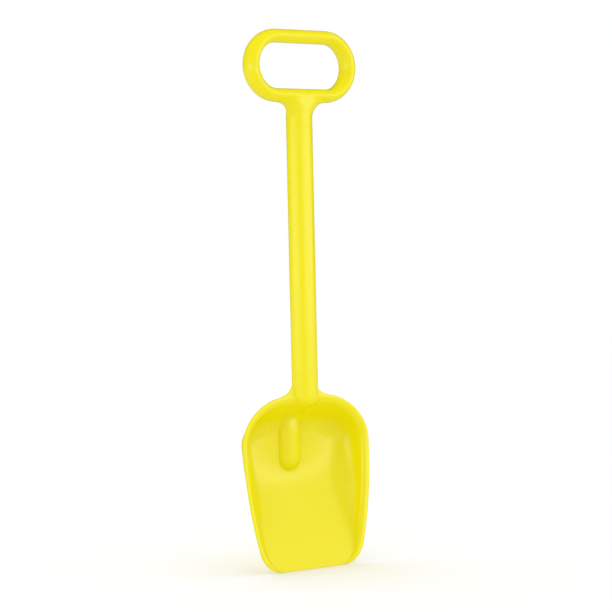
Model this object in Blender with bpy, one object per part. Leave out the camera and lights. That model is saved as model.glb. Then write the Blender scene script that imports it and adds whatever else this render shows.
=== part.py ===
"""Sand shovel: a scoop blade, a tube shaft and a loop grip, pushed together.

The origin is the middle of the cutting edge. X runs to the right seen from the
front, Y to the back and Z up along the shaft. Every size is in metres.
"""
import math

import bmesh
import bpy
import numpy as np

# Fits
FIT_GAP = 0.0003
OVERLAP = 0.001

# Overall
OVERALL_HEIGHT = 0.500
SHAFT_SETBACK = 0.0080

# Shaft
SHAFT_DIAMETER = 0.0244
SHAFT_WALL = 0.0024
SHAFT_BOTTOM = 0.1830
SHAFT_TOP = 0.4110

# Push-in joints between the shaft and its two neighbours
SPIGOT_LENGTH = 0.0300
SPIGOT_WALL = 0.0026
SPIGOT_CHAMFER = 0.0012
BEAD_HEIGHT = 0.0006
BEAD_WIDTH = 0.0030
BEAD_FROM_END = 0.0080

# Loop grip
LOOP_END_RADIUS = 0.0272
LOOP_STRAIGHT = 0.0552
LOOP_BAR_WIDTH = 0.0126
LOOP_BAR_DEPTH = 0.0200
LOOP_FORWARD = 0.0030
NECK_FILLET = 0.0145

# Blade outline
BLADE_WIDTH = 0.1436
BLADE_TOP = 0.1614
WIDEST_HEIGHT = 0.1165
SIDE_RADIUS = 0.381
SHOULDER_REACH = 0.0550
TIP_CORNER_RADIUS = 0.0260
FLARE_RADIUS = 0.0148

# Blade section
SHEET = 0.0026
RIM_LEAN = math.radians(3.5)
RIM_LAND = 0.0060
LIP_RADIUS = 0.0045
SIDE_ANGLE = math.radians(74.0)
HEEL_ANGLE = math.radians(55.0)
FOOT_RADIUS = 0.0230
FLOOR_TIP_ANGLE = math.radians(24.7)
FLOOR_HEEL_ANGLE = math.radians(6.2)
FLOOR_HEEL_HEIGHT = 0.130
BOWL_DEPTH = 0.0090
BOWL_REACH = 0.0600
BOWL_TOP = 0.135
BOWL_FULLNESS = 1.25
EDGE_THICKNESS = 0.0016
EDGE_BEVEL = 0.0090

# Half-round rib on the floor of the blade, and the rounded foot of the socket
RIB_END = 0.0900
RIB_SINK = 0.0036
RIB_BLEND = 0.0042
RIB_FLANK = 2.0
NOSE_BOTTOM = 0.1515
NOSE_ROUND = 0.0080

# Smoothness
ROUND_STEPS = 48
ARC_STEPS = 6
WELD = 1e-6

# Plastic, with its colour as linear red, green and blue
YELLOW = (0.87, 0.73, 0.008)
ROUGHNESS = 0.34

# Values that follow from the sizes above
SHAFT_RADIUS = SHAFT_DIAMETER / 2
BORE_RADIUS = SHAFT_RADIUS - SHAFT_WALL
SPIGOT_RADIUS = BORE_RADIUS - FIT_GAP
CORE_RADIUS = SPIGOT_RADIUS - SPIGOT_WALL
LOOP_CENTRE = OVERALL_HEIGHT - LOOP_BAR_WIDTH / 2 - LOOP_END_RADIUS
HALF_WIDTH = BLADE_WIDTH / 2
SHOULDER_HEIGHT = BLADE_TOP - WIDEST_HEIGHT
TIP_SLOPE = math.tan(FLOOR_TIP_ANGLE)
FLOOR_CURVE = (TIP_SLOPE - math.tan(FLOOR_HEEL_ANGLE)) / (2 * FLOOR_HEEL_HEIGHT)


def start_clean():
    """Remove every object, so that the part is built into an empty scene."""
    for item in list(bpy.data.objects):
        bpy.data.objects.remove(item, do_unlink=True)


def plastic(name):
    """One moulded plastic of the shovel's one colour."""
    material = bpy.data.materials.new(name)
    material.use_nodes = True
    shader = material.node_tree.nodes["Principled BSDF"]
    shader.inputs["Base Color"].default_value = (*YELLOW, 1.0)
    shader.inputs["Roughness"].default_value = ROUGHNESS
    shader.inputs["Metallic"].default_value = 0.0
    return material


def add_object(name, mesh_data, material):
    """Close a bmesh into a smooth-shaded object at the origin."""
    bmesh.ops.remove_doubles(mesh_data, verts=mesh_data.verts[:], dist=WELD)
    bmesh.ops.recalc_face_normals(mesh_data, faces=mesh_data.faces[:])
    mesh = bpy.data.meshes.new(name)
    mesh_data.to_mesh(mesh)
    mesh_data.free()
    mesh.polygons.foreach_set("use_smooth", [True] * len(mesh.polygons))
    mesh.materials.append(material)
    item = bpy.data.objects.new(name, mesh)
    bpy.context.scene.collection.objects.link(item)
    return item


def join_tool(target, tool):
    """Unite a helper solid with a piece, and keep the helper out of sight."""
    modifier = target.modifiers.new(tool.name, "BOOLEAN")
    modifier.operation = "UNION"
    modifier.solver = "EXACT"
    modifier.object = tool
    tool.hide_render = True
    tool.display_type = "WIRE"


def arc(centre, radius, first, last, steps):
    """Points on a circle from one angle to another, both ends included."""
    angles = np.linspace(first, last, steps + 1)
    return [(centre[0] + radius * math.cos(a), centre[1] + radius * math.sin(a)) for a in angles]


def turned(name, profile, material):
    """Spin a profile of (radius, height) points about the shaft axis."""
    mesh_data = bmesh.new()
    points = [mesh_data.verts.new((radius, SHAFT_SETBACK, height)) for radius, height in profile]
    edges = [mesh_data.edges.new(pair) for pair in zip(points, points[1:])]
    bmesh.ops.spin(
        mesh_data,
        geom=points + edges,
        cent=(0.0, SHAFT_SETBACK, 0.0),
        axis=(0.0, 0.0, 1.0),
        angle=2 * math.pi,
        steps=ROUND_STEPS,
        use_merge=True,
    )
    return add_object(name, mesh_data, material)


def lofted(name, sections, closed, material):
    """Skin a row of equal point loops, joined end to end or closed with caps."""
    mesh_data = bmesh.new()
    loops = [[mesh_data.verts.new(point) for point in section] for section in sections]
    pairs = list(zip(loops, loops[1:]))
    if closed:
        pairs.append((loops[-1], loops[0]))
    else:
        mesh_data.faces.new(loops[0])
        mesh_data.faces.new(loops[-1])
    for near, far in pairs:
        for i in range(len(near)):
            mesh_data.faces.new((near[i - 1], near[i], far[i], far[i - 1]))
    return add_object(name, mesh_data, material)


def bead(base_radius, middle):
    """Rounded snap bead on a turned profile, listed upward."""
    half = BEAD_WIDTH / 2
    crest = base_radius + BEAD_HEIGHT
    return [
        (base_radius, middle - half),
        (crest, middle - half / 3),
        (crest, middle + half / 3),
        (base_radius, middle + half),
    ]


def smooth_min(first, second, blend):
    """The lower of two depths, with a rounded change-over of the given size."""
    safe = np.maximum(blend, 1e-9)
    share = np.clip(0.5 + 0.5 * (second - first) / safe, 0.0, 1.0)
    return second + (first - second) * share - safe * share * (1.0 - share)


def build_shaft(material):
    """Plain round tube with a snap groove near each end of its bore."""
    groove = SPIGOT_RADIUS + BEAD_HEIGHT + FIT_GAP
    low = SHAFT_BOTTOM + SPIGOT_LENGTH - BEAD_FROM_END
    high = SHAFT_TOP - SPIGOT_LENGTH + BEAD_FROM_END
    profile = [(SHAFT_RADIUS, SHAFT_BOTTOM), (SHAFT_RADIUS, SHAFT_TOP)]
    inner = [(BORE_RADIUS, SHAFT_BOTTOM)]
    for middle in (low, high):
        half = BEAD_WIDTH / 2 + FIT_GAP
        inner.append((BORE_RADIUS, middle - half - FIT_GAP))
        inner.append((groove, middle - half / 2))
        inner.append((groove, middle + half / 2))
        inner.append((BORE_RADIUS, middle + half + FIT_GAP))
    inner.append((BORE_RADIUS, SHAFT_TOP))
    profile += inner[::-1]
    profile.append(profile[0])
    return turned("shaft", profile, material)


def build_grip(material):
    """Loop of flattened bar on a neck, with a spigot that enters the shaft."""
    middle_y = SHAFT_SETBACK - LOOP_FORWARD
    half_straight = LOOP_STRAIGHT / 2
    steps = 2 * ARC_STEPS
    path = []
    for side in (1, -1):
        first = -math.pi / 2 if side > 0 else math.pi / 2
        for angle in np.linspace(first, first + math.pi, steps + 1):
            path.append((side * half_straight, angle))
    around = np.linspace(0, 2 * math.pi, 4 * ARC_STEPS, endpoint=False)
    turn = np.linspace(0, 2 * math.pi, ROUND_STEPS, endpoint=False)
    sections = []
    for centre_x, angle in path:
        reach = LOOP_END_RADIUS + LOOP_BAR_WIDTH / 2 * np.cos(around)
        x = centre_x + reach * math.cos(angle)
        y = middle_y + LOOP_BAR_DEPTH / 2 * np.sin(around)
        z = LOOP_CENTRE + reach * math.sin(angle)
        sections.append(list(zip(x, y, z)))
    grip = lofted("grip", sections, True, material)

    shoulder = SHAFT_TOP + FIT_GAP
    bar_middle = LOOP_CENTRE - LOOP_END_RADIUS
    fillet_start = bar_middle - LOOP_BAR_WIDTH / 2 - NECK_FILLET
    neck = [(0.0, shoulder), (0.0, (shoulder + fillet_start) / 2)]
    for angle in np.linspace(0, math.pi / 2, ARC_STEPS + 3):
        neck.append((NECK_FILLET * (1 - math.cos(angle)), fillet_start + NECK_FILLET * math.sin(angle)))
    neck.append((NECK_FILLET, bar_middle))
    neck_sections = []
    for widening, height in neck:
        share = (height - shoulder) / (bar_middle - shoulder)
        change = share * share * (3.0 - 2.0 * share)
        half_depth = SHAFT_RADIUS + (LOOP_BAR_DEPTH / 2 - OVERLAP - SHAFT_RADIUS) * change
        x = (SHAFT_RADIUS + widening) * np.cos(turn)
        y = SHAFT_SETBACK - LOOP_FORWARD * change + half_depth * np.sin(turn)
        neck_sections.append([(a, b, height) for a, b in zip(x, y)])
    join_tool(grip, lofted("grip neck", neck_sections, False, material))

    spigot_end = SHAFT_TOP - SPIGOT_LENGTH
    root = shoulder + SPIGOT_WALL
    profile = [(0.0, root), (CORE_RADIUS, root), (CORE_RADIUS, spigot_end)]
    profile.append((SPIGOT_RADIUS - SPIGOT_CHAMFER, spigot_end))
    profile.append((SPIGOT_RADIUS, spigot_end + SPIGOT_CHAMFER))
    profile += bead(SPIGOT_RADIUS, spigot_end + BEAD_FROM_END)
    profile += [(SPIGOT_RADIUS, root + OVERLAP), (0.0, root + OVERLAP)]
    join_tool(grip, turned("grip spigot", profile, material))
    return grip


def side_x(height):
    """Half-width of the blade's bowed side, carried on down past the corner."""
    return HALF_WIDTH - SIDE_RADIUS + np.sqrt(SIDE_RADIUS**2 - (WIDEST_HEIGHT - height) ** 2)


def shoulder_z(x):
    """Height of the top outline at a half-width x, without its flares."""
    centre = HALF_WIDTH - SHOULDER_REACH
    share = np.clip((x - centre) / SHOULDER_REACH, 0.0, 1.0)
    return WIDEST_HEIGHT + SHOULDER_HEIGHT * np.sqrt(1.0 - share**2)


def floor_depth(height):
    """Depth of the bare floor behind the rim plane."""
    return (TIP_SLOPE - math.tan(RIM_LEAN)) * height - FLOOR_CURVE * height**2


def rib_height(x, height, radius, sink):
    """Height of the half-round rib over the floor, with a round lower end."""
    end_centre = RIB_END + SHAFT_RADIUS
    away = np.hypot(x, np.minimum(height - end_centre, 0.0))
    crown = np.sqrt(np.maximum(radius**2 - away**2, 0.0)) - sink
    crown = crown - RIB_FLANK * np.maximum(away - radius, 0.0)
    return -smooth_min(-crown, np.zeros_like(crown), RIB_BLEND)


def bowl_depth(x, height):
    """How much deeper the dished middle of the floor is than its sides."""
    across = np.clip(1.0 - (x / BOWL_REACH) ** 2, 0.0, 1.0)
    share = np.clip(height / BOWL_TOP, 0.0, 1.0)
    return BOWL_DEPTH * across**BOWL_FULLNESS * (4.0 * share * (1.0 - share)) ** 2


def wall_rounds(depth, angle):
    """Radius of the wall's lip, radius of its foot, and how far from the land the foot ends.

    Both rounds touch the wall, and get smaller where the scoop is shallow.
    """
    reach = depth / np.tan(angle)
    bite = np.sin(angle) - np.tan(angle / 2)
    lip = np.minimum(LIP_RADIUS, reach / (2 * bite))
    foot = np.minimum(FOOT_RADIUS, reach / bite - lip)
    return lip, foot, reach + foot * np.tan(angle / 2)


def skin_y(x, height, inset, angle, skin):
    """Y of the front (skin 0) or back (skin 1) face of the moulded scoop.

    inset is the distance inward from the rim and angle the slope of the wall there.
    The flat land at the rim turns over a round lip into the wall, which runs round
    into the dished floor; the rib stands on the floor. The back lies one sheet behind.
    """
    sheet = SHEET * skin
    floor = floor_depth(height)
    lip, radius, end = wall_rounds(floor, angle)
    way = np.clip(inset - RIM_LAND, -RIM_LAND, end)
    wall = np.tan(angle) * way + sheet / np.cos(angle)
    reach = radius + sheet
    turn = floor - radius + np.sqrt(np.maximum(reach**2 - (end - way) ** 2, 0.0))
    wall = np.where(way < end - reach * np.sin(angle), wall, turn)
    over = way + lip * np.tan(angle / 2)
    crest = lip - np.sqrt(np.maximum(lip**2 - np.clip(over, 0.0, lip) ** 2, 0.0))
    on_lip = (over < lip * np.sin(angle)) & (skin == 0)
    wall = np.maximum(np.where(on_lip, crest, wall), sheet)
    dish = bowl_depth(x, height)
    rib = rib_height(x, height, SHAFT_RADIUS - sheet, RIB_SINK - sheet)
    depth = smooth_min(wall + dish, floor + sheet + dish - rib, rib / 2)
    rim = EDGE_THICKNESS / 2 - SHEET + math.tan(RIM_LEAN) * height
    bevel = (SHEET - EDGE_THICKNESS) * np.clip(1.0 - height / EDGE_BEVEL, 0.0, 1.0)
    return rim + depth + bevel * (1 - skin)


def scoop_grids():
    """Right half of the scoop as three grids of (x, height, inset, wall angle).

    Rows of the first grid start at the rim and run square to it, down the wall
    and over the floor to an upright line beside the rib. The second grid covers
    the floor between that line and the middle. The third covers the top, where
    the flares climb the socket, in upright columns.
    """
    core = SHAFT_RADIUS - OVERLAP
    join_x = core + FLARE_RADIUS
    heel_end = wall_rounds(floor_depth(BLADE_TOP), HEEL_ANGLE)[2]
    join_z = BLADE_TOP - heel_end - 2 * RIM_LAND
    corner_x = HALF_WIDTH - SIDE_RADIUS + math.sqrt(
        (SIDE_RADIUS - TIP_CORNER_RADIUS) ** 2 - (WIDEST_HEIGHT - TIP_CORNER_RADIUS) ** 2
    )
    corner_turn = math.atan2(
        TIP_CORNER_RADIUS - WIDEST_HEIGHT, corner_x - HALF_WIDTH + SIDE_RADIUS
    )
    centre = (corner_x, TIP_CORNER_RADIUS)
    corner = np.array(arc(centre, TIP_CORNER_RADIUS, -math.pi / 2, corner_turn, ARC_STEPS))
    fan_start = RIB_END + SHAFT_RADIUS
    spread = WIDEST_HEIGHT / fan_start
    quarter = np.linspace(0.0, math.pi / 2, ARC_STEPS)
    below_rib = np.linspace(corner[-1, 1] / spread, RIB_END, 2 * ARC_STEPS)[1:]
    end_turn = np.linspace(0.0, math.pi / 2, ARC_STEPS + 2)
    round_end = fan_start - core * np.cos(end_turn)
    side_z = spread * np.concatenate([below_rib, round_end])
    side = np.stack([side_x(side_z), side_z], axis=1)
    shoulder_centre = HALF_WIDTH - SHOULDER_REACH
    last_turn = math.acos((join_x - shoulder_centre) / SHOULDER_REACH)
    turn = np.linspace(0.0, last_turn, 2 * ARC_STEPS + 1)[1:]
    shoulder = np.stack(
        [shoulder_centre + SHOULDER_REACH * np.cos(turn), WIDEST_HEIGHT + SHOULDER_HEIGHT * np.sin(turn)],
        axis=1,
    )

    start = np.concatenate([corner, side, shoulder])
    lower_count = len(corner) + len(side)
    heading = np.concatenate([np.zeros(lower_count), turn / last_turn * math.pi / 2])
    inward = np.stack([-np.cos(heading), -np.sin(heading)], axis=1)

    lower_target = start[:lower_count, 1] / spread
    upper_target = np.linspace(fan_start, join_z, len(shoulder) + 1)[1:]
    target = np.concatenate([lower_target, upper_target])

    angle = SIDE_ANGLE + (HEEL_ANGLE - SIDE_ANGLE) * heading / (math.pi / 2)
    lip_turn = np.linspace(0.0, 1.0, 3)
    foot_turn = np.linspace(1.0, 0.0, ARC_STEPS + 1)
    floor_share = np.linspace(0.0, 1.0, ARC_STEPS // 2 + 1)[1:]

    def rim_row(first, direction, angle, end):
        """One row from the rim to its end point, with the inset and wall angle of each point."""
        depth = max(floor_depth(first[1]), 2 * SHEET)
        lip, radius, foot_end = wall_rounds(depth, angle)
        flange = RIM_LAND - SHEET * math.tan(angle / 2)
        crest = RIM_LAND + lip * (np.sin(lip_turn * angle) - math.tan(angle / 2))
        foot = RIM_LAND + foot_end - radius * np.sin(foot_turn * angle)
        inset = np.sort(np.concatenate([[0.0, flange], crest, foot]))
        wall = first + direction * inset[:, None]
        floor = wall[-1] + (np.array(end) - wall[-1]) * floor_share[:, None]
        over = inset[-1] + np.linalg.norm(floor - wall[-1], axis=1)
        inset = np.concatenate([inset, over])
        return np.column_stack([np.vstack([wall, floor]), inset, np.full(len(inset), angle)])

    rows = []
    for i in range(len(start)):
        rows.append(rim_row(start[i], inward[i], angle[i], (join_x, target[i])))
    side_grid = np.array(rows)

    flare_x = join_x - FLARE_RADIUS * np.sin(quarter)
    climb = FLARE_RADIUS * (1.0 - np.cos(quarter))
    inner_x = core * np.cos(end_turn)[1:]
    column_x = np.concatenate([flare_x, inner_x])
    column_climb = np.concatenate([climb, np.full(len(inner_x), FLARE_RADIUS)])

    middle_grid = np.array([[(x, z, BLADE_WIDTH, HEEL_ANGLE) for x in column_x] for z in target])

    columns = []
    for x, rise in zip(column_x, column_climb):
        first = np.array([x, shoulder_z(x)])
        column = rim_row(first, np.array([0.0, -1.0]), HEEL_ANGLE, (x, join_z))
        column[0, 1] += rise
        column[0, 2] -= rise
        columns.append(column)
    top_grid = np.array(columns)
    return [side_grid, middle_grid, top_grid]


def build_blade(material):
    """Scoop moulded in one sheet, with the socket that carries the shaft."""
    mesh_data = bmesh.new()
    back_layer = mesh_data.verts.layers.float.new("back")
    for grid in scoop_grids():
        x, height, inset, angle = np.moveaxis(grid, -1, 0)
        front = skin_y(x, height, inset, angle, 0)
        back = skin_y(x, height, inset, angle, 1)
        for side in (1, -1):
            points = {}
            for place in np.ndindex(x.shape):
                vertex = mesh_data.verts.new((side * x[place], front[place], height[place]))
                vertex[back_layer] = back[place]
                points[place] = vertex
            for i in range(x.shape[0] - 1):
                for j in range(x.shape[1] - 1):
                    ring = [points[i, j + 1], points[i + 1, j + 1], points[i + 1, j], points[i, j]]
                    mesh_data.faces.new(ring)
    bmesh.ops.remove_doubles(mesh_data, verts=mesh_data.verts[:], dist=WELD)
    bmesh.ops.recalc_face_normals(mesh_data, faces=mesh_data.faces[:])
    copy = bmesh.ops.duplicate(mesh_data, geom=mesh_data.faces[:])
    twin = copy["vert_map"]
    copied_faces = [item for item in copy["geom"] if isinstance(item, bmesh.types.BMFace)]
    copied_edges = {item for item in copy["geom"] if isinstance(item, bmesh.types.BMEdge)}
    for vertex in {v for face in copied_faces for v in face.verts}:
        vertex.co.y = vertex[back_layer]
    open_edges = [e for e in mesh_data.edges if e.is_boundary and e not in copied_edges]
    for edge in open_edges:
        first, second = edge.verts
        mesh_data.faces.new((first, second, twin[second], twin[first]))
    blade = add_object("blade", mesh_data, material)

    shoulder = SHAFT_BOTTOM - FIT_GAP
    spigot_end = SHAFT_BOTTOM + SPIGOT_LENGTH
    flat = SHAFT_RADIUS - NOSE_ROUND
    profile = [(0.0, NOSE_BOTTOM)]
    profile += arc((flat, NOSE_BOTTOM + NOSE_ROUND), NOSE_ROUND, -math.pi / 2, 0.0, ARC_STEPS)
    profile += [(SHAFT_RADIUS, shoulder), (SPIGOT_RADIUS, shoulder)]
    profile += bead(SPIGOT_RADIUS, spigot_end - BEAD_FROM_END)
    profile.append((SPIGOT_RADIUS, spigot_end - SPIGOT_CHAMFER))
    profile.append((SPIGOT_RADIUS - SPIGOT_CHAMFER, spigot_end))
    profile.append((CORE_RADIUS, spigot_end))
    profile += [(CORE_RADIUS, BLADE_TOP), (0.0, BLADE_TOP)]
    join_tool(blade, turned("blade socket", profile, material))
    return blade


def main():
    """Build the three mouldings, each in its own plastic."""
    start_clean()
    build_blade(plastic("blade plastic"))
    build_shaft(plastic("shaft plastic"))
    build_grip(plastic("grip plastic"))


main()
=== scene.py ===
"""Finished look of a plastic sand shovel on a white studio floor.

Three mouldings, the scoop blade, the tube shaft and the loop grip, are worked out as
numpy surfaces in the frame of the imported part: X to the right seen from the front,
Y to the back, Z up along the shaft, in metres. Each one stands for its CAD node.
"""

import math

import bmesh
import bpy
import numpy as np
from bpy.props import FloatProperty, FloatVectorProperty, IntProperty, PointerProperty
from bpy.types import Operator, Panel, PropertyGroup
from mathutils import Matrix, Vector


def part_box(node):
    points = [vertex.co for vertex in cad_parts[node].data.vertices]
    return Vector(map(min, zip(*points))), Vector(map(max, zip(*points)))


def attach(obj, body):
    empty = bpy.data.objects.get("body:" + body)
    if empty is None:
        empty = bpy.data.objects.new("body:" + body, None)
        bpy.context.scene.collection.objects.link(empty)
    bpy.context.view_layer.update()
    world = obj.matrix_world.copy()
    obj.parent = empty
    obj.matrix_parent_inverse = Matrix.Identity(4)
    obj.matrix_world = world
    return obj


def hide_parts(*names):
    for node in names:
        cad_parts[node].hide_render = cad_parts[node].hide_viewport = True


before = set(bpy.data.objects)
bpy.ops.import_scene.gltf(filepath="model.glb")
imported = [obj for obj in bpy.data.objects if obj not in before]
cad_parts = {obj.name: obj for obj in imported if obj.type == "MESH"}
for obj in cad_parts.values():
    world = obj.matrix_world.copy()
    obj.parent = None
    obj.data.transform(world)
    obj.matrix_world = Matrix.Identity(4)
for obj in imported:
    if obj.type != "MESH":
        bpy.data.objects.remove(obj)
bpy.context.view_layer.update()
BLADE_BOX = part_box("blade")
SHAFT_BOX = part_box("shaft")
GRIP_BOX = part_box("grip")

# Points of a mesh that are closer than this, in metres, are one point
SAME_PLACE = 2e-6
# Smallest round, in metres, that the smooth lower of two depths works with
LEAST_ROUND = 1e-9
# Edges that bend by more than this stay sharp
CREASE = math.radians(48.0)
# Points over the lip and over the straight wall of the scoop, and how closely the points crowd at the rim
LIP_POINTS = 7
WALL_POINTS = 13
RIM_CROWDING = 2.2
# Rows of points along the socket, the tube and the stem of the grip
SOCKET_ROWS = 24
TUBE_ROWS = 61
STEM_ROWS = 9
# Share of the webs' height over which the neck takes the bar's depth, and share of that depth that it takes
NECK_CHANGE = 0.9
NECK_DEPTH = 0.98

bl_info = {
    "name": "Sand Shovel",
    "version": (1, 0, 0),
    "blender": (4, 5, 0),
    "location": "3D View > Sidebar > Shovel",
    "description": "Builds a moulded sand shovel from its blade, shaft and grip, on a studio stage",
    "category": "Add Mesh",
}


def size(label, text, value):
    """A length in metres that a user may change."""
    return FloatProperty(name=label, description=text, default=value, min=0.0, precision=5, unit="LENGTH")


def tilt(label, text, degrees):
    """An angle that a user may change, given here in degrees."""
    return FloatProperty(name=label, description=text, default=math.radians(degrees), subtype="ANGLE")


def share(label, text, value):
    """A plain number from nought to one."""
    return FloatProperty(name=label, description=text, default=value, min=0.0, max=1.0, subtype="FACTOR")


def number(label, text, value, least=0.0):
    """A slope, a brightness where one is white, or another number that has no unit."""
    return FloatProperty(name=label, description=text, default=value, min=least)


def tint(label, text, value):
    """A linear colour."""
    return FloatVectorProperty(
        name=label, description=text, default=value, size=3, min=0.0, max=1.0, subtype="COLOR"
    )


class ShaftSizes(PropertyGroup):
    """Sizes of the round tube and of the spigots that go into it."""

    radius: size("Radius", "Outer radius of the tube", (SHAFT_BOX[1].x - SHAFT_BOX[0].x) / 2)
    wall: size("Wall", "Wall of the tube", 0.0024)
    setback: size("Setback", "How far the axis lies behind the cutting edge", 0.0080)
    bottom: size("Bottom", "Height of the lower end of the tube", SHAFT_BOX[0].z)
    top: size("Top", "Height of the upper end of the tube", SHAFT_BOX[1].z)
    fit: size("Fit", "Clearance of a spigot in the tube", 0.0003)
    hairline: size("Hairline", "Gap that shows between two mouldings", 0.00005)
    spigot: size("Spigot", "How far a spigot goes into the tube", 0.0300)
    spigot_wall: size("Spigot wall", "Wall of a spigot", 0.0026)
    chamfer: size("Chamfer", "Lead-in at the end of a spigot", 0.0012)


class BladeSizes(PropertyGroup):
    """Sizes of the scoop."""

    width: size("Width", "Width of the blade at its widest", BLADE_BOX[1].x - BLADE_BOX[0].x)
    top: size("Top", "Height of the heel of the blade", 0.1614)
    widest: size("Widest", "Height at which the blade is widest", 0.1165)
    side: size("Side radius", "Radius of the bowed sides", 0.381)
    shoulder: size("Shoulder", "How far in the round shoulder reaches", 0.0550)
    corner: size("Corner", "Radius of the two corners of the cutting edge", 0.0260)
    flare: size("Flare", "Radius of the webs that climb the socket", 0.0160)
    tuck: size("Tuck", "How far the top of a web goes into the socket", 0.0002)
    fillet: size("Fillet", "Round where the sheet meets the socket", 0.0050)
    sheet: size("Sheet", "Thickness of the moulding", 0.0026)
    lean: tilt("Lean", "Forward lean of the rim", 3.5)
    land: size("Land", "Width of the flat rim", 0.0060)
    lip: size("Lip", "Radius on the inner edge of the rim", 0.0070)
    side_wall: tilt("Side wall", "Slope of the side walls", 74.0)
    heel_wall: tilt("Heel wall", "Slope of the wall at the heel", 55.0)
    foot: size("Foot", "Radius between wall and floor", 0.0230)
    tip_slope: tilt("Tip slope", "Slope of the floor at the cutting edge", 24.7)
    heel_slope: tilt("Heel slope", "Slope of the floor at the heel", 6.2)
    heel: size("Heel", "Height at which the floor has the slope of the heel", 0.130)
    bowl: size("Bowl", "How much deeper the floor is in its middle", 0.0090)
    bowl_reach: size("Bowl reach", "Half-width of the dished middle", 0.0600)
    bowl_top: size("Bowl top", "Height at which the dished middle ends", 0.135)
    bowl_full: number("Bowl fullness", "Shape of the dish", 1.25, 1.0)
    edge: size("Edge", "Thickness of the cutting edge", 0.0016)
    bevel: size("Bevel", "Height of the bevel along the cutting edge", 0.0090)
    rounding: share("Rounding", "Edge round as a share of the thickness", 0.34)
    rib_end: size("Rib end", "Height of the lower end of the rib", 0.0900)
    rib_sink: size("Rib sink", "How far the axis of the rib lies under the floor", 0.0032)
    rib_blend: size("Rib blend", "Round at the foot of the rib", 0.0070)
    flank: number("Flank", "Slope beside the rib and the socket", 2.0)
    nose: size("Nose", "Height of the lower end of the socket", 0.1515)
    nose_round: size("Nose round", "Round at the lower end of the socket", 0.0080)
    nose_slope: number("Nose slope", "Slope of the ramp under the socket", 3.0)
    nose_flank: number("Nose flank", "Slope beside the ramp under the socket", 1.2)
    steps: IntProperty(name="Steps", description="Mesh steps to a quarter turn", default=22, min=6, max=40)


class GripSizes(PropertyGroup):
    """Sizes of the loop and of its neck."""

    top: size("Top", "Height of the top of the loop", GRIP_BOX[1].z)
    end: size("End radius", "Radius of the bar's middle line round each end", 0.0272)
    straight: size("Straight", "Length of the straight part of the bar", 0.0552)
    bar_width: size("Bar width", "Width of the bar across the loop", 0.0126)
    bar_depth: size("Bar depth", "Depth of the bar from front to back", 0.0200)
    forward: size("Forward", "How far the loop lies in front of the shaft's axis", 0.0030)
    fillet: size("Fillet", "Radius of the webs beside the neck", 0.0145)
    blend: size("Blend", "Round where the neck runs into the bar", 0.0040)
    flank: number("Flank", "Slope beside the neck", 3.0)
    steps: IntProperty(name="Steps", description="Mesh steps to a quarter turn", default=24, min=6, max=48)


class PlasticLook(PropertyGroup):
    """Colour and surface of the plastic."""

    colour: tint("Colour", "Body colour of the plastic", (0.945, 0.84, 0.0005))
    rubbed: tint("Rubbed", "Colour where the surface is rubbed", (0.90, 0.80, 0.12))
    rough: share("Roughness", "Roughness of the moulded surface", 0.24)
    grain: size("Grain", "Size of the moulded grain", 0.0009)
    relief: share("Relief", "Strength of the grain's bump", 0.05)
    scuffs: share("Scuffs", "How much fine rubbing shows", 0.25)


class StageLook(PropertyGroup):
    """Camera, lamps and floor."""

    around: tilt("Around", "How far the camera stands to the left of the front", 36.0)
    down: tilt("Down", "How far the camera looks down", 1.774)
    roll: tilt("Roll", "How far the picture is turned", -1.266)
    away: size("Away", "Distance of the camera", 1.941)
    aim: size("Aim", "Height that the camera looks at", 0.2444)
    aside: size("Aside", "How far to the right of the axis the camera looks", 0.0026)
    lens: number("Lens", "Focal length in millimetres", 122.8, 1.0)
    fill: number("Fill", "Even light from all round", 1.07)
    sheen: share("Sheen", "How bright the room is where the plastic mirrors it", 0.02)
    left: number("Left", "Brightness of the softbox on the left", 2.2)
    right: number("Right", "Brightness of the softbox on the right", 2.5)
    high: number("High", "Brightness of the high softbox on the right", 0.7)
    floor: tint("Floor", "Colour of the floor", (0.88, 0.88, 0.88))
    glow: share("Glow", "Light that the camera sees from the floor itself", 0.08)
    mirrored: share("Mirrored", "How bright the floor is where the plastic mirrors it", 0.40)


def smooth_min(first, second, blend):
    """The lower of two depths, with a round of the given size where they change over."""
    safe = np.maximum(blend, LEAST_ROUND)
    part = np.clip(0.5 + 0.5 * (second - first) / safe, 0.0, 1.0)
    return second + (first - second) * part - safe * part * (1.0 - part)


def ease(value):
    """Smooth step from nought to one."""
    part = np.clip(value, 0.0, 1.0)
    return part * part * (3.0 - 2.0 * part)


def weld(mesh):
    """Merge the points that meet at seams and poles, and turn every face outward."""
    work = bmesh.new()
    work.from_mesh(mesh)
    bmesh.ops.remove_doubles(work, verts=work.verts[:], dist=SAME_PLACE)
    bmesh.ops.dissolve_degenerate(work, edges=work.edges[:], dist=SAME_PLACE / 2)
    bmesh.ops.recalc_face_normals(work, faces=work.faces[:])
    work.to_mesh(mesh)
    work.free()


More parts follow.
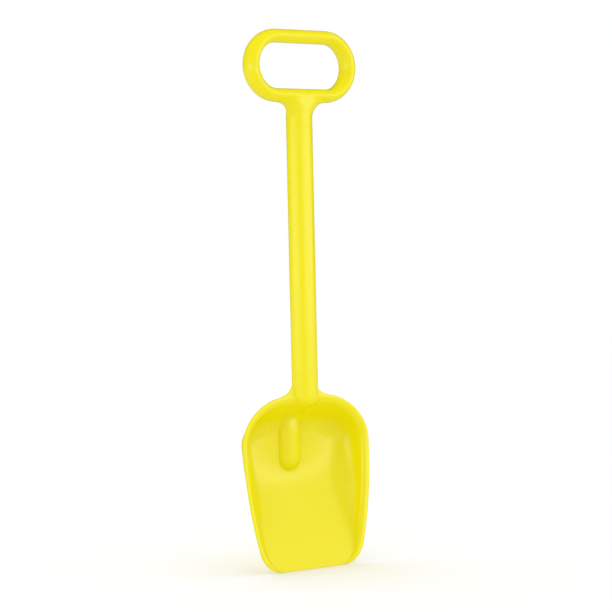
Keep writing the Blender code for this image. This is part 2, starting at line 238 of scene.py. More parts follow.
class Skin:
    """Points and four-sided faces gathered from grids and strips, then welded."""

    def __init__(self):
        self.points = []
        self.faces = []
        self.count = 0

    def grid(self, x, y, z, ring=False):
        """Add a grid of points, joined round its second direction when ring is set."""
        points = np.stack(np.broadcast_arrays(x, y, z), axis=-1)
        index = self.count + np.arange(points[..., 0].size).reshape(points.shape[:2])
        self.points.append(points.reshape(-1, 3))
        self.count += index.size
        self.between(index[:-1], index[1:], ring)
        return index

    def between(self, near, far, ring=False):
        """Faces between two equal arrays of point numbers, along their last direction."""
        if ring:
            near = np.concatenate([near, near[..., :1]], axis=-1)
            far = np.concatenate([far, far[..., :1]], axis=-1)
        quads = np.stack([near[..., :-1], near[..., 1:], far[..., 1:], far[..., :-1]], axis=-1)
        self.faces.append(quads.reshape(-1, 4))

    def piece(self, name):
        """Make the welded mesh object."""
        mesh = bpy.data.meshes.new(name)
        mesh.from_pydata(np.concatenate(self.points).tolist(), [], np.concatenate(self.faces).tolist())
        weld(mesh)
        item = bpy.data.objects.new(name, mesh)
        bpy.context.scene.collection.objects.link(item)
        return item


def arc(centre, radius, first, last, steps):
    """Points on a circle from one angle to another, as an array of two columns."""
    angle = np.linspace(first, last, steps + 1)
    return np.stack([centre[0] + radius * np.cos(angle), centre[1] + radius * np.sin(angle)], axis=1)


def turn_grid(skin, profile, setback, steps):
    """Add a profile of (radius, height), carried round the shaft's axis, to a skin."""
    angle = np.linspace(0.0, 2.0 * math.pi, 4 * steps, endpoint=False)
    radius, height = profile[:, :1], profile[:, 1:]
    skin.grid(radius * np.sin(angle), setback - radius * np.cos(angle), height, ring=True)


def turned(name, profile, setback, steps):
    """A piece with a closed profile of (radius, height) all round the shaft's axis."""
    skin = Skin()
    turn_grid(skin, profile, setback, steps)
    return skin.piece(name)


def unite(piece, *tools):
    """Melt helper solids into a piece, and remove the helpers."""
    for tool in tools:
        cut = piece.modifiers.new(tool.name, "BOOLEAN")
        cut.operation = "UNION"
        cut.solver = "EXACT"
        cut.object = tool
    view = bpy.context.evaluated_depsgraph_get()
    melted = bpy.data.meshes.new_from_object(piece.evaluated_get(view))
    weld(melted)
    piece.modifiers.clear()
    old = piece.data
    piece.data = melted
    bpy.data.meshes.remove(old)
    melted.name = piece.name
    for tool in tools:
        spare = tool.data
        bpy.data.objects.remove(tool)
        bpy.data.meshes.remove(spare)


def finish_piece(piece, node, material):
    """Smooth the piece up to the crease angle, colour it and let it stand for its CAD node."""
    piece.data.polygons.foreach_set("use_smooth", np.ones(len(piece.data.polygons), dtype=bool))
    piece.data.set_sharp_from_angle(angle=CREASE)
    piece.data.materials.clear()
    piece.data.materials.append(material)
    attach(piece, "root")
    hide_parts(node)


def side_x(blade, height):
    """Half-width of the bowed side: a circle whose widest point is at the widest height."""
    return blade.width / 2 - blade.side + np.sqrt(blade.side**2 - (blade.widest - height) ** 2)


def shoulder_z(blade, x):
    """Height of the top outline: a quarter ellipse that runs out into a level line."""
    centre = blade.width / 2 - blade.shoulder
    part = np.clip((x - centre) / blade.shoulder, 0.0, 1.0)
    return blade.widest + (blade.top - blade.widest) * np.sqrt(1.0 - part**2)


def floor_depth(blade, height):
    """Depth of the floor behind the rim plane: a parabola that starts at the cutting edge."""
    start = math.tan(blade.tip_slope)
    bend = (start - math.tan(blade.heel_slope)) / (2.0 * blade.heel)
    return (start - math.tan(blade.lean)) * height - bend * height**2


def rib_height(blade, x, height, radius, sink, end_centre):
    """Height of the half-round rib over the floor, with a round end and a blended foot."""
    away = np.hypot(x, np.minimum(height - end_centre, 0.0))
    crown = np.sqrt(np.maximum(radius**2 - away**2, 0.0)) - sink
    crown = crown - blade.flank * np.maximum(away - radius, 0.0)
    return -smooth_min(-crown, np.zeros_like(crown), blade.rib_blend)


def bowl_depth(blade, x, height):
    """How much deeper the dished middle of the floor is than its sides.

    A hump across the floor, times the square of a parabola that is one half-way up.
    """
    across = np.clip(1.0 - (x / blade.bowl_reach) ** 2, 0.0, 1.0)
    part = np.clip(height / blade.bowl_top, 0.0, 1.0)
    return blade.bowl * across**blade.bowl_full * (4.0 * part * (1.0 - part)) ** 2


def wall_rounds(blade, depth, angle):
    """Radius of the lip, radius of the foot, and how far from the land the foot ends.

    Both rounds touch the wall, and get smaller where the scoop is shallow.
    """
    reach = depth / np.tan(angle)
    bite = np.sin(angle) - np.tan(angle / 2)
    lip = np.minimum(blade.lip, reach / (2.0 * bite))
    foot = np.clip(reach / bite - lip, 0.0, blade.foot)
    return lip, foot, reach + foot * np.tan(angle / 2)


def wall_depth(blade, depth, inset, angle, sheet):
    """Depth of one face of the wall behind the rim plane; sheet is nought for the front.

    From the land a round lip leads into the straight wall, and a round foot leads out
    of it to the floor's depth. The back lies one sheet behind, with no lip.
    """
    lip, foot, end = wall_rounds(blade, depth, angle)
    way = np.minimum(inset - blade.land, end)
    reach = foot + sheet
    straight = np.tan(angle) * way + sheet / np.cos(angle)
    turn = depth - foot + np.sqrt(np.maximum(reach**2 - (end - way) ** 2, 0.0))
    wall = np.where(way < end - reach * np.sin(angle), straight, turn)
    if not sheet:
        over = way + lip * np.tan(angle / 2)
        crest = lip - np.sqrt(np.maximum(lip**2 - np.clip(over, 0.0, lip) ** 2, 0.0))
        wall = np.where(over < lip * np.sin(angle), crest, wall)
    return np.maximum(wall, sheet)


def socket_crown(blade, shaft, x, height):
    """How far the socket's skin stands out from its axis, to the front as to the back.

    The section is a half circle with straight flanks outside it. Down the nose the circle
    shrinks by a quarter round, until the round is as steep as the ramp that goes on from
    it, and the flanks turn gentle. A hairline of swell hides the nose of the turned socket.
    """
    below = blade.nose + blade.nose_round - height
    fall = np.maximum(below, 0.0)
    reach = blade.nose_round * blade.nose_slope / math.hypot(1.0, blade.nose_slope)
    under = np.maximum(fall - reach, 0.0)
    swell = 2.0 * ease(1.0 + below / blade.nose_round) - 1.0
    tube = shaft.radius + shaft.hairline * swell - blade.nose_round
    tube = tube + np.sqrt(blade.nose_round**2 - np.minimum(fall, reach) ** 2)
    steep = np.sqrt(np.maximum(tube**2 - x**2, 0.0)) - blade.flank * np.maximum(x - tube, 0.0)
    edge = tube * blade.nose_flank / math.hypot(1.0, blade.nose_flank)
    gentle = np.sqrt(tube**2 - np.minimum(x, edge) ** 2) - blade.nose_flank * np.maximum(x - edge, 0.0)
    return steep + (gentle - steep) * ease(fall / blade.nose_round) - blade.nose_slope * under


def scoop_skins(blade, shaft, x, height, inset, rim, angle):
    """Y of the front and back faces of the sheet at points of its outline plane.

    inset is the way inward from the rim, rim the true distance to the outline and angle
    the slope of the wall. The rib stands on the dished floor. Close to the outline both
    faces round over by a quarter circle, and round the socket both run into its section
    with a fillet that fades out to the top of the webs.
    """
    radius = shaft.radius
    depth = floor_depth(blade, height)
    plane = blade.edge / 2 - blade.sheet + math.tan(blade.lean) * height + bowl_depth(blade, x, height)
    thin = np.clip(1.0 - height / blade.bevel, 0.0, 1.0) * (blade.sheet - blade.edge)
    faces = []
    for sheet in (0.0, blade.sheet):
        wall = wall_depth(blade, depth, inset, angle, sheet)
        rib = rib_height(blade, x, height, radius - sheet, blade.rib_sink - sheet, blade.rib_end + radius)
        faces.append(plane + smooth_min(wall, depth + sheet - rib, rib / 2))
    curl = blade.rounding * (blade.sheet - thin)
    drop = curl - np.sqrt(np.maximum(curl**2 - np.maximum(curl - np.maximum(rim, 0.0), 0.0) ** 2, 0.0))
    front = faces[0] + thin + drop
    back = faces[1] - drop

    crown = socket_crown(blade, shaft, x, height)
    blend = blade.fillet * ease((blade.top + blade.flare - height) / blade.flare)
    front = smooth_min(front, shaft.setback - crown, blend)
    back = -smooth_min(-back, -shaft.setback - crown, blend)
    return front, np.minimum(back, BLADE_BOX[1].y)


def rim_insets(blade, depth, angle, rise):
    """Ways inward from the rim at which a row has its points, as columns for each row."""
    lip, foot, end = wall_rounds(blade, depth, angle)
    flange = blade.land - blade.sheet * np.tan(angle / 2)
    crest = blade.land - lip * np.tan(angle / 2)
    rounding = np.linspace(0.0, 1.0, blade.steps)
    lip_arc = crest + lip * np.sin(np.linspace(0.0, 1.0, LIP_POINTS) * angle)
    foot_arc = blade.land + end - foot * np.sin(rounding[::-1] * angle)
    first, last = lip_arc[:, -1:], foot_arc[:, :1]
    ways = np.concatenate(
        [
            -rise + (rise + crest) * rounding**RIM_CROWDING,
            flange,
            lip_arc[:, 1:],
            first + (last - first) * np.linspace(0.0, 1.0, WALL_POINTS)[1:-1],
            foot_arc,
        ],
        axis=1,
    )
    return np.sort(ways, axis=1)


def scoop_grids(blade, radius):
    """Right half of the scoop as three grids of x, height, inset, rim distance and wall slope.

    Rows of the first grid start at the outline and run inward, down the wall and over
    the floor to an upright line beside the rib. The second grid is the floor from that
    line to the middle. The third is the heel, in upright columns that start on the flare.
    """
    steps = blade.steps
    half = blade.width / 2
    inner = radius - blade.tuck
    join_x = inner + blade.flare
    heel_end = wall_rounds(blade, floor_depth(blade, blade.top), blade.heel_wall)[2]
    join_z = blade.top - heel_end - 2.0 * blade.land
    corner_x = half - blade.side + math.sqrt(
        (blade.side - blade.corner) ** 2 - (blade.widest - blade.corner) ** 2
    )
    last_corner = math.atan2(blade.corner - blade.widest, corner_x - half + blade.side)
    corner = arc((corner_x, blade.corner), blade.corner, -math.pi / 2, last_corner, steps)
    side_z = np.linspace(corner[-1, 1], blade.widest, 3 * steps + 1)[1:]
    side = np.stack([side_x(blade, side_z), side_z], axis=1)
    last_turn = math.acos((join_x - half + blade.shoulder) / blade.shoulder)
    turn = np.linspace(0.0, last_turn, 2 * steps + 1)[1:]
    crest = np.stack(
        [
            half - blade.shoulder + blade.shoulder * np.cos(turn),
            blade.widest + (blade.top - blade.widest) * np.sin(turn),
        ],
        axis=1,
    )
    start = np.concatenate([corner, side, crest])
    low = len(corner) + len(side)
    heading = np.concatenate([np.zeros(low), turn / last_turn * math.pi / 2])
    slope = blade.side_wall + (blade.heel_wall - blade.side_wall) * heading / (math.pi / 2)
    fan = blade.rib_end + radius
    target = np.concatenate(
        [start[:low, 1] * fan / blade.widest, np.linspace(fan, join_z, len(crest) + 1)[1:]]
    )

    quarter = np.linspace(0.0, math.pi / 2, steps)
    column_x = np.concatenate([join_x - blade.flare * np.sin(quarter), inner * np.cos(quarter)[1:]])
    climb = np.concatenate([blade.flare * (1.0 - np.cos(quarter)), np.full(steps - 1, blade.flare)])
    floor_part = np.linspace(0.0, 1.0, steps // 2 + 1)[1:]

    def rows(first, heading, slope, rise, last):
        """Rows from the outline over the wall to their end points."""
        heading, slope, rise = heading[:, None], slope[:, None], rise[:, None]
        depth = np.maximum(floor_depth(blade, first[:, 1:]), 2.0 * blade.sheet)
        inset = rim_insets(blade, depth, slope, rise)
        x = first[:, :1] - np.cos(heading) * inset
        z = first[:, 1:] - np.sin(heading) * inset
        way_x, way_z = last[:, :1] - x[:, -1:], last[:, 1:] - z[:, -1:]
        over = inset[:, -1:] + np.hypot(way_x, way_z) * floor_part
        x = np.concatenate([x, x[:, -1:] + way_x * floor_part], axis=1)
        z = np.concatenate([z, z[:, -1:] + way_z * floor_part], axis=1)
        return x, z, np.concatenate([inset, over], axis=1), np.broadcast_to(slope, x.shape)

    ends = np.stack([np.full(len(target), join_x), target], axis=1)
    x, z, inset, slope = rows(start, heading, slope, np.zeros(len(start)), ends)
    in_corner = (x > corner_x) & (z - blade.corner < math.tan(last_corner) * (x - corner_x))
    rim = np.where(in_corner, blade.corner - np.hypot(x - corner_x, z - blade.corner), np.minimum(inset, z))
    wall_grid = (x, z, inset, rim, slope)

    x, z = np.meshgrid(column_x, target)
    floor_grid = (x, z, np.full_like(x, blade.width), z, np.full_like(x, blade.heel_wall))

    tops = np.stack([column_x, shoulder_z(blade, column_x)], axis=1)
    upright = np.full(len(column_x), math.pi / 2)
    ends = np.stack([column_x, np.full(len(column_x), join_z)], axis=1)
    x, z, inset, slope = rows(tops, upright, np.full(len(column_x), blade.heel_wall), climb, ends)
    x = np.broadcast_to(column_x[:, None], z.shape)
    rim = np.hypot(x - join_x, inset + blade.flare) - blade.flare
    heel_grid = (x, z, inset, np.where(x < inner, blade.width, rim), slope)
    return wall_grid, floor_grid, heel_grid


def spigot_profile(shaft, end, root, way):
    """Outline of a hollow spigot from its end to its root; way is 1 for one that points up."""
    outer = shaft.radius - shaft.wall - shaft.fit
    core = outer - shaft.spigot_wall
    return np.array(
        [
            (core, root),
            (core, end),
            (outer - shaft.chamfer, end),
            (outer, end - way * shaft.chamfer),
            (outer, root),
        ]
    )


def build_blade(blade, shaft):
    """The scoop sheet, mirrored about its middle, with the socket that carries the shaft.

    Each grid gives a front and a back face. Strips between the two close the rim of the
    wall and of the heel, and the cutting edge of the wall and of the floor.
    """
    skin = Skin()
    grids = scoop_grids(blade, shaft.radius)
    has_rim = (True, False, True)
    has_cutting_edge = (True, True, False)
    for side in (1.0, -1.0):
        for (x, z, inset, rim, slope), at_rim, at_edge in zip(grids, has_rim, has_cutting_edge):
            front, back = scoop_skins(blade, shaft, x, z, inset, rim, slope)
            near = skin.grid(side * x, front, z)
            far = skin.grid(side * x, back, z)
            if at_rim:
                skin.between(near[:, 0], far[:, 0])
            if at_edge:
                skin.between(near[0], far[0])
    sheet = skin.piece("scoop_blade")

    flat = shaft.radius - blade.nose_round
    shoulder = shaft.bottom - shaft.hairline
    nose = arc((flat, blade.nose + blade.nose_round), blade.nose_round, -math.pi / 2, 0.0, blade.steps)
    tube_z = np.linspace(blade.nose + blade.nose_round, shoulder, SOCKET_ROWS + 1)[1:]
    tube = np.stack([np.full(SOCKET_ROWS, shaft.radius), tube_z], axis=1)
    spigot = spigot_profile(shaft, shaft.bottom + shaft.spigot, blade.top, 1.0)
    seat = np.array([(spigot[-1, 0], shoulder)])
    stem = np.concatenate([seat, spigot[3:0:-1], spigot[:1], [(0.0, blade.top)]])
    profile = np.concatenate([[(0.0, blade.nose)], nose, tube, stem])
    unite(sheet, turned("socket", profile, shaft.setback, blade.steps))
    return sheet


def build_shaft(shaft, steps):
    """The plain tube: a closed profile of its wall, carried round the axis."""
    bore = shaft.radius - shaft.wall
    height = np.linspace(shaft.bottom, shaft.top, TUBE_ROWS)
    outer = np.stack([np.full(TUBE_ROWS, shaft.radius), height], axis=1)
    inner = np.stack([np.full(TUBE_ROWS, bore), height[::-1]], axis=1)
    profile = np.concatenate([outer, inner, outer[:1]])
    return turned("tube_shaft", profile, shaft.setback, steps)


def neck_section(grip, shaft, across, down):
    """Height and Y of the skin under the lower bar, for places across it and shares of the way down.

    The skin goes down to the flare, a quarter circle that runs from the bar to the shaft.
    With t the way below the bar's middle, the bar is d sqrt(1 - (t / w)^2) deep and the
    neck h(z) sqrt(1 - (x / r(z))^2), where r follows the flare and h goes from the
    shaft's radius to the bar's depth. The half-depth is the smooth greater of the two.
    """
    half_bar = grip.bar_width / 2
    half_depth = grip.bar_depth / 2
    bar_z = grip.top - half_bar - 2.0 * grip.end
    start = bar_z - half_bar - grip.fillet
    place = np.abs(across)[:, None]
    out = np.clip((place - shaft.radius) / grip.fillet, 0.0, 1.0)
    low = start + grip.fillet * np.sqrt(1.0 - (1.0 - out) ** 2)
    fall = (bar_z - low) * down
    height = bar_z - fall
    up = np.clip(height - start, 0.0, grip.fillet)
    wide = shaft.radius + grip.fillet - np.sqrt(grip.fillet**2 - up**2)
    change = ease(up / (NECK_CHANGE * grip.fillet))
    deep = shaft.radius + (NECK_DEPTH * half_depth - shaft.radius) * change
    neck = deep * np.sqrt(np.maximum(1.0 - (place / wide) ** 2, 0.0))
    neck = neck - grip.flank * np.maximum(place - wide, 0.0)
    bar = half_depth * np.sqrt(np.maximum(1.0 - (fall / half_bar) ** 2, 0.0))
    bar = bar - grip.flank * np.maximum(fall - half_bar, 0.0)
    room = 2.0 * np.maximum(np.minimum(neck, bar), 0.0)
    blend = np.minimum(grip.blend * np.clip(fall / half_bar, 0.0, 1.0), room)
    return height, shaft.setback - grip.forward * change, np.maximum(-smooth_min(-neck, -bar, blend), 0.0)


def build_grip(grip, shaft):
    """The loop, its neck and its spigot as one skin.

    The loop carries an ellipse along a line of two half circles and two straights. Under
    the lower straight the ellipse is drawn down into the neck, which leaves a round
    opening. The stem is turned and starts on that opening.
    """
    steps = grip.steps
    half = grip.straight / 2
    half_bar = grip.bar_width / 2
    middle_z = grip.top - half_bar - grip.end
    middle_y = shaft.setback - grip.forward
    quarter = np.linspace(0.0, math.pi / 2, steps + 1)
    flare = shaft.radius + grip.fillet * (1.0 - np.cos(quarter))
    right = np.concatenate([shaft.radius * np.sin(quarter), flare[1:]])
    across = np.concatenate([-right[:0:-1], right])
    bend = np.linspace(-math.pi / 2, math.pi / 2, 2 * steps + 1)
    run = np.linspace(half, -half, steps)[1:-1]
    along_x = np.concatenate([np.full(len(bend), half), run, np.full(len(bend), -half), across])
    angle = np.concatenate(
        [bend, np.full(len(run), math.pi / 2), bend + math.pi, np.full(len(across), 1.5 * math.pi)]
    )
    around = np.linspace(0.0, 2.0 * math.pi, 4 * steps + 1)
    reach = grip.end + half_bar * np.cos(around)
    x = along_x[:, None] + reach * np.cos(angle)[:, None]
    z = middle_z + reach * np.sin(angle)[:, None]
    y = np.broadcast_to(middle_y + grip.bar_depth / 2 * np.sin(around), x.shape)
    below = np.arange(len(around)) % (4 * steps)
    below = (below <= steps) | (below >= 3 * steps)
    height, centre, thick = neck_section(grip, shaft, across, np.maximum(np.cos(around), 0.0))
    drawn = np.zeros(x.shape, dtype=bool)
    drawn[-len(across) :] = below
    start = len(along_x) - len(across)
    z = np.where(drawn, np.pad(height, ((start, 0), (0, 0))), z)
    back = np.where(np.arange(len(around)) <= 2 * steps, 1.0, -1.0)
    y = np.where(drawn, np.pad(centre + back * thick, ((start, 0), (0, 0))), y)
    skin = Skin()
    index = skin.grid(x, y, z)
    skin.between(index[-1], index[0])

    opening = middle_z - grip.end - half_bar - grip.fillet
    shoulder = shaft.top + shaft.hairline
    spigot = spigot_profile(shaft, shaft.top - shaft.spigot, shoulder + shaft.spigot_wall, -1.0)
    stem = np.stack([np.full(STEM_ROWS, shaft.radius), np.linspace(opening, shoulder, STEM_ROWS)], axis=1)
    profile = np.concatenate(
        [stem, [(spigot[4, 0], shoulder)], spigot[3:0:-1], spigot[:1], [(0.0, spigot[0, 1])]]
    )
    turn_grid(skin, profile, shaft.setback, steps)
    return skin.piece("loop_grip")


def new_group(name, inputs, outputs):
    """A shader node group with named sockets; gives the group and its two end nodes."""
    group = bpy.data.node_groups.new(name, "ShaderNodeTree")
    for label, kind in inputs:
        group.interface.new_socket(name=label, in_out="INPUT", socket_type=kind)
    for label, kind in outputs:
        group.interface.new_socket(name=label, in_out="OUTPUT", socket_type=kind)
    return group, group.nodes.new("NodeGroupInput"), group.nodes.new("NodeGroupOutput")


def add_node(tree, kind, settings=(), links=()):
    """One node, with its settings by name and its inputs by name or number."""
    node = tree.nodes.new(kind)
    for key, value in dict(settings).items():
        setattr(node, key, value)
    for key, value in links:
        if isinstance(value, bpy.types.NodeSocket):
            tree.links.new(value, node.inputs[key])
        else:
            node.inputs[key].default_value = value
    return node


def scaled(tree, place, factor):
    """Stretch the place along each axis before a texture reads it."""
    node = add_node(tree, "ShaderNodeMapping", links=[("Vector", place)])
    node.inputs["Scale"].default_value = factor
    return node.outputs[0]


def sums(tree, kind, first, second):
    """One step of arithmetic."""
    return add_node(tree, "ShaderNodeMath", {"operation": kind}, [(0, first), (1, second)]).outputs[0]


def noise(tree, place, scale, detail):
    """Soft noise in space: its value, which is a half on average."""
    links = [("Vector", place), ("Scale", scale), ("Detail", detail)]
    return add_node(tree, "ShaderNodeTexNoise", links=links).outputs[0]


# First input and output of a Mix node for numbers and for colours
MIX_SOCKETS = {"FLOAT": (2, 0), "RGBA": (6, 2)}


def mixed(tree, kind, part, first, second):
    """The first value where part is nought, the second where it is one."""
    place, result = MIX_SOCKETS[kind]
    links = [(0, part), (place, first), (place + 1, second)]
    return add_node(tree, "ShaderNodeMix", {"data_type": kind}, links).outputs[result]


# Value of a noise on average
AVERAGE_NOISE = 0.5
# Detail of the grain, and in metres the depth of its bump and the smallest size that it may have
GRAIN_DETAIL = 3.0
GRAIN_DEPTH = 0.0003
LEAST_GRAIN = 1e-5
# Patches of more and less gloss: scale and detail of their noise, and how far the roughness swings
PATCH_SCALE = 45.0
PATCH_DETAIL = 4.0
PATCH_SWING = 0.16
# Detail of the stretched noise of hairs and clouds
STRETCHED_DETAIL = 2.0
# Value of the noise at which a hair starts, value at which it is full, and the roughness that it adds
HAIR_START = 0.60
HAIR_FULL = 0.72
HAIR_ROUGHNESS = 0.5
# How far the flow clouds change the colour
CLOUD_DEPTH = 0.05
# Index of refraction of the plastic
PLASTIC_IOR = 1.49
# For each node, the stretch of the flow clouds, the stretch of the hairs and the height in which hairs fade
FINISHES = {
    "blade": ((14.0, 14.0, 5.0), (2200.0, 700.0, 60.0), 0.035),
    "shaft": ((30.0, 30.0, 4.0), (900.0, 900.0, 60.0), 0.3),
    "grip": ((12.0, 30.0, 12.0), (300.0, 1500.0, 900.0), 0.4),
}


def grain_group():
    """Fine moulded grain: a height for the bump and a change of roughness."""
    group, source, result = new_group(
        "Moulded grain",
        [("Place", "NodeSocketVector"), ("Fineness", "NodeSocketFloat")],
        [("Height", "NodeSocketFloat"), ("Gloss change", "NodeSocketFloat")],
    )
    place = source.outputs["Place"]
    patches = noise(group, place, PATCH_SCALE, PATCH_DETAIL)
    change = sums(group, "MULTIPLY", sums(group, "SUBTRACT", patches, AVERAGE_NOISE), PATCH_SWING)
    group.links.new(noise(group, place, source.outputs["Fineness"], GRAIN_DETAIL), result.inputs["Height"])
    group.links.new(change, result.inputs["Gloss change"])
    return group


def scuff_group():
    """Hair-fine rubbing marks, thicker towards the cutting edge, as a mask."""
    group, source, result = new_group(
        "Rubbing marks",
        [
            ("Place", "NodeSocketVector"),
            ("Height", "NodeSocketFloat"),
            ("Fade", "NodeSocketFloat"),
            ("Amount", "NodeSocketFloat"),
        ],
        [("Mask", "NodeSocketFloat")],
    )
    hairs = noise(group, source.outputs["Place"], 1.0, STRETCHED_DETAIL)
    thin = add_node(
        group,
        "ShaderNodeMapRange",
        {"interpolation_type": "SMOOTHSTEP"},
        [("Value", hairs), ("From Min", HAIR_START), ("From Max", HAIR_FULL)],
    )
    near = sums(group, "DIVIDE", source.outputs["Height"], source.outputs["Fade"])
    far = sums(group, "MULTIPLY", near, -1.0)
    fall = add_node(group, "ShaderNodeMath", {"operation": "EXPONENT"}, [(0, far)])
    mask = sums(group, "MULTIPLY", thin.outputs[0], fall.outputs[0])
    group.links.new(sums(group, "MULTIPLY", mask, source.outputs["Amount"]), result.inputs["Mask"])
    return group


def flow_group():
    """Broad, faint clouds in the colour, drawn out along the moulding's flow."""
    group, source, result = new_group(
        "Flow clouds",
        [("Place", "NodeSocketVector"), ("Depth", "NodeSocketFloat")],
        [("Shade", "NodeSocketFloat")],
    )
    cloud = noise(group, source.outputs["Place"], 1.0, STRETCHED_DETAIL)
    change = sums(group, "SUBTRACT", cloud, AVERAGE_NOISE)
    swing = sums(group, "MULTIPLY", change, source.outputs["Depth"])
    group.links.new(sums(group, "ADD", swing, 1.0), result.inputs["Shade"])
    return group


def plastic(node, look):
    """Moulded plastic: body colour with flow clouds, rubbed hairs, grain and a satin gloss."""
    flow, hairs, fade = FINISHES[node]
    material = bpy.data.materials.new(node + "_plastic")
    material.use_nodes = True
    tree = material.node_tree
    shader = tree.nodes["Principled BSDF"]
    place = add_node(tree, "ShaderNodeTexCoord").outputs["Object"]
    height = add_node(tree, "ShaderNodeSeparateXYZ", links=[(0, place)]).outputs["Z"]

    def use(name, maker, links):
        """A shared node group, made the first time that it is asked for."""
        group = bpy.data.node_groups.get(name) or maker()
        return add_node(tree, "ShaderNodeGroup", {"node_tree": group}, links).outputs

    fineness = 1.0 / max(look.grain, LEAST_GRAIN)
    grain = use("Moulded grain", grain_group, [("Place", place), ("Fineness", fineness)])
    flowing = [("Place", scaled(tree, place, flow)), ("Depth", CLOUD_DEPTH)]
    shade = use("Flow clouds", flow_group, flowing)["Shade"]
    rubbing = [("Place", scaled(tree, place, hairs)), ("Height", height)]
    rubbing += [("Fade", fade), ("Amount", look.scuffs)]
    marks = use("Rubbing marks", scuff_group, rubbing)["Mask"]
    body = mixed(tree, "RGBA", marks, (*look.colour, 1.0), (*look.rubbed, 1.0))
    links = [(0, body), ("Scale", shade)]
    shaded = add_node(tree, "ShaderNodeVectorMath", {"operation": "SCALE"}, links)
    tree.links.new(shaded.outputs[0], shader.inputs["Base Color"])
    gloss = sums(tree, "ADD", grain["Gloss change"], look.rough)
    dull = sums(tree, "MULTIPLY", marks, HAIR_ROUGHNESS)
    tree.links.new(sums(tree, "ADD", gloss, dull), shader.inputs["Roughness"])
    links = [("Height", grain["Height"]), ("Strength", look.relief), ("Distance", GRAIN_DEPTH)]
    bump = add_node(tree, "ShaderNodeBump", links=links)
    tree.links.new(bump.outputs[0], shader.inputs["Normal"])
    shader.inputs["IOR"].default_value = PLASTIC_IOR
    return material


class SHOVEL_OT_blade(Operator):
    """Build the scoop blade with its socket"""

    bl_idname = "shovel.blade"
    bl_label = "Blade"

    def execute(self, context):
        scene = context.scene
        piece = build_blade(scene.shovel_blade, scene.shovel_shaft)
        finish_piece(piece, "blade", plastic("blade", scene.shovel_plastic))
        return {"FINISHED"}


class SHOVEL_OT_shaft(Operator):
    """Build the tube shaft"""

    bl_idname = "shovel.shaft"
    bl_label = "Shaft"

    def execute(self, context):
        scene = context.scene
        piece = build_shaft(scene.shovel_shaft, scene.shovel_grip.steps)
        finish_piece(piece, "shaft", plastic("shaft", scene.shovel_plastic))
        return {"FINISHED"}


class SHOVEL_OT_grip(Operator):
    """Build the loop grip with its neck"""

    bl_idname = "shovel.grip"
    bl_label = "Grip"

    def execute(self, context):
        scene = context.scene
        piece = build_grip(scene.shovel_grip, scene.shovel_shaft)
        finish_piece(piece, "grip", plastic("grip", scene.shovel_plastic))
        return {"FINISHED"}


# Radius of the floor in metres, its rings and its sides
FLOOR_REACH = 8.0
FLOOR_RINGS = 13
FLOOR_SIDES = 96
# Width of the camera's sensor in millimetres
SENSOR_WIDTH = 36.0
# Setting, distance, angle to the left of the camera, angle up, width, height, height that it faces
SOFTBOXES = (
    ("left", 4.0, 57.0, 0.0, 4.8, 0.6, 0.35),
    ("right", 4.0, -60.0, 0.0, 7.2, 0.6, 0.35),
    ("high", 2.5, -66.0, 29.0, 2.9, 1.9, 0.10),
)


class SHOVEL_OT_stage(Operator):
    """Set up the floor, the room light, three softboxes and the camera"""

    bl_idname = "shovel.stage"
    bl_label = "Stage"

    def execute(self, context):
        look = context.scene.shovel_stage
        build_floor(look)
        light_room(context.scene, look)
        for name, *place in SOFTBOXES:
            add_softbox(name + "_softbox", getattr(look, name), look.around, *place)
        place_camera(context.scene, look, context.scene.shovel_shaft.setback)
        context.scene.view_settings.view_transform = "Standard"
        return {"FINISHED"}


def seen_by_camera(tree):
    """Light Path's outputs, and a mask of the rays that show a surface to the camera."""
    rays = add_node(tree, "ShaderNodeLightPath").outputs
    return rays, sums(tree, "MAXIMUM", rays["Is Camera Ray"], rays["Is Transmission Ray"])


def build_floor(look):
    """A wide round floor: a grid of rings that close on the middle, dimmer in the plastic's gloss."""
    ring = np.linspace(0.0, 1.0, FLOOR_RINGS)[:, None] ** 2 * FLOOR_REACH
    angle = np.linspace(0.0, 2.0 * math.pi, FLOOR_SIDES, endpoint=False)
    skin = Skin()
    skin.grid(ring * np.cos(angle), ring * np.sin(angle), np.zeros((FLOOR_RINGS, FLOOR_SIDES)), ring=True)
    floor = skin.piece("studio_floor")
    material = bpy.data.materials.new("studio_floor")
    material.use_nodes = True
    tree = material.node_tree
    shader = tree.nodes["Principled BSDF"]
    shader.inputs["Specular IOR Level"].default_value = 0.0
    rays, seen = seen_by_camera(tree)
    dim = Vector(look.floor) * look.mirrored
    colour = mixed(tree, "RGBA", rays["Is Glossy Ray"], (*look.floor, 1.0), (*dim, 1.0))
    tree.links.new(colour, shader.inputs["Base Color"])
    strength = sums(tree, "MULTIPLY", seen, look.glow)
    glow = add_node(tree, "ShaderNodeEmission", links=[("Strength", strength)])
    both = add_node(tree, "ShaderNodeAddShader", links=[(0, shader.outputs[0]), (1, glow.outputs[0])])
    tree.links.new(both.outputs[0], tree.nodes["Material Output"].inputs["Surface"])
    floor.data.materials.append(material)


def light_room(scene, look):
    """White where the camera sees the room, an even fill for the object, and dim in its gloss."""
    world = bpy.data.worlds.new("studio_room")
    world.use_nodes = True
    tree = world.node_tree
    rays, seen = seen_by_camera(tree)
    lit = mixed(tree, "FLOAT", rays["Is Glossy Ray"], look.fill, look.sheen)
    room = tree.nodes["Background"]
    room.inputs["Color"].default_value = (1.0, 1.0, 1.0, 1.0)
    tree.links.new(mixed(tree, "FLOAT", seen, lit, 1.0), room.inputs["Strength"])
    scene.world = world


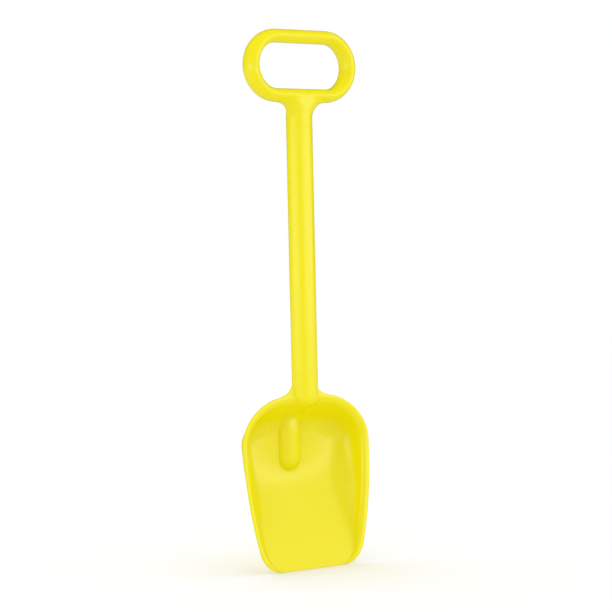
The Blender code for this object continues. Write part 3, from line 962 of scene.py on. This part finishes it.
def add_softbox(name, brightness, around, away, aside, above, wide, tall, aim):
    """A flat lamp that shows in the gloss only: aside and above are its angles from the camera.

    Its energy is its brightness times pi times its area.
    """
    lamp = bpy.data.lights.new(name, "AREA")
    lamp.shape = "RECTANGLE"
    lamp.size = wide
    lamp.size_y = tall
    lamp.energy = brightness * math.pi * wide * tall
    item = bpy.data.objects.new(name, lamp)
    turn = around + math.radians(aside)
    rise = math.radians(above)
    way = Vector((-math.sin(turn) * math.cos(rise), -math.cos(turn) * math.cos(rise), math.sin(rise)))
    item.location = Vector((0.0, 0.0, aim)) + way * away
    item.rotation_euler = way.to_track_quat("Z", "Y").to_euler()
    item.visible_diffuse = False
    bpy.context.scene.collection.objects.link(item)


def place_camera(scene, look, setback):
    """Camera to the left of the front, a little above, turned by its roll."""
    ahead = Vector(
        (
            math.sin(look.around) * math.cos(look.down),
            math.cos(look.around) * math.cos(look.down),
            -math.sin(look.down),
        )
    )
    right = Vector((math.cos(look.around), -math.sin(look.around), 0.0))
    up = right.cross(ahead)
    target = Vector((0.0, setback, look.aim)) + right * look.aside
    across = right * math.cos(look.roll) + up * math.sin(look.roll)
    above = up * math.cos(look.roll) - right * math.sin(look.roll)
    lens = bpy.data.cameras.new("studio_camera")
    lens.lens = look.lens
    lens.sensor_width = SENSOR_WIDTH
    item = bpy.data.objects.new("studio_camera", lens)
    turn = Matrix((across, above, -ahead)).transposed().to_4x4()
    item.matrix_world = Matrix.Translation(target - ahead * look.away) @ turn
    scene.collection.objects.link(item)
    scene.camera = item


class SHOVEL_PT_builder(Panel):
    """Sidebar panel with the sizes, the finish and the build buttons"""

    bl_idname = "SHOVEL_PT_builder"
    bl_label = "Sand Shovel"
    bl_space_type = "VIEW_3D"
    bl_region_type = "UI"
    bl_category = "Shovel"

    def draw(self, context):
        for group, operator in PANEL_ROWS:
            box = self.layout.box()
            settings = getattr(context.scene, group)
            for name in settings.__annotations__:
                box.prop(settings, name)
            if operator:
                box.operator(operator)


PANEL_ROWS = (
    ("shovel_plastic", None),
    ("shovel_blade", "shovel.blade"),
    ("shovel_shaft", "shovel.shaft"),
    ("shovel_grip", "shovel.grip"),
    ("shovel_stage", "shovel.stage"),
)
SETTINGS = {
    "shovel_plastic": PlasticLook,
    "shovel_blade": BladeSizes,
    "shovel_shaft": ShaftSizes,
    "shovel_grip": GripSizes,
    "shovel_stage": StageLook,
}
TOOLS = (SHOVEL_OT_blade, SHOVEL_OT_shaft, SHOVEL_OT_grip, SHOVEL_OT_stage, SHOVEL_PT_builder)


def register():
    """Register the settings, operators and panel."""
    for name, group in SETTINGS.items():
        bpy.utils.register_class(group)
        setattr(bpy.types.Scene, name, PointerProperty(type=group))
    for tool in TOOLS:
        bpy.utils.register_class(tool)


def unregister():
    """Take the settings, operators and panel out again."""
    for tool in reversed(TOOLS):
        bpy.utils.unregister_class(tool)
    for name, group in reversed(SETTINGS.items()):
        delattr(bpy.types.Scene, name)
        bpy.utils.unregister_class(group)


def main():
    """Build the three mouldings and the stage."""
    register()
    bpy.ops.shovel.blade()
    bpy.ops.shovel.shaft()
    bpy.ops.shovel.grip()
    bpy.ops.shovel.stage()


if __name__ == "__main__":
    main()
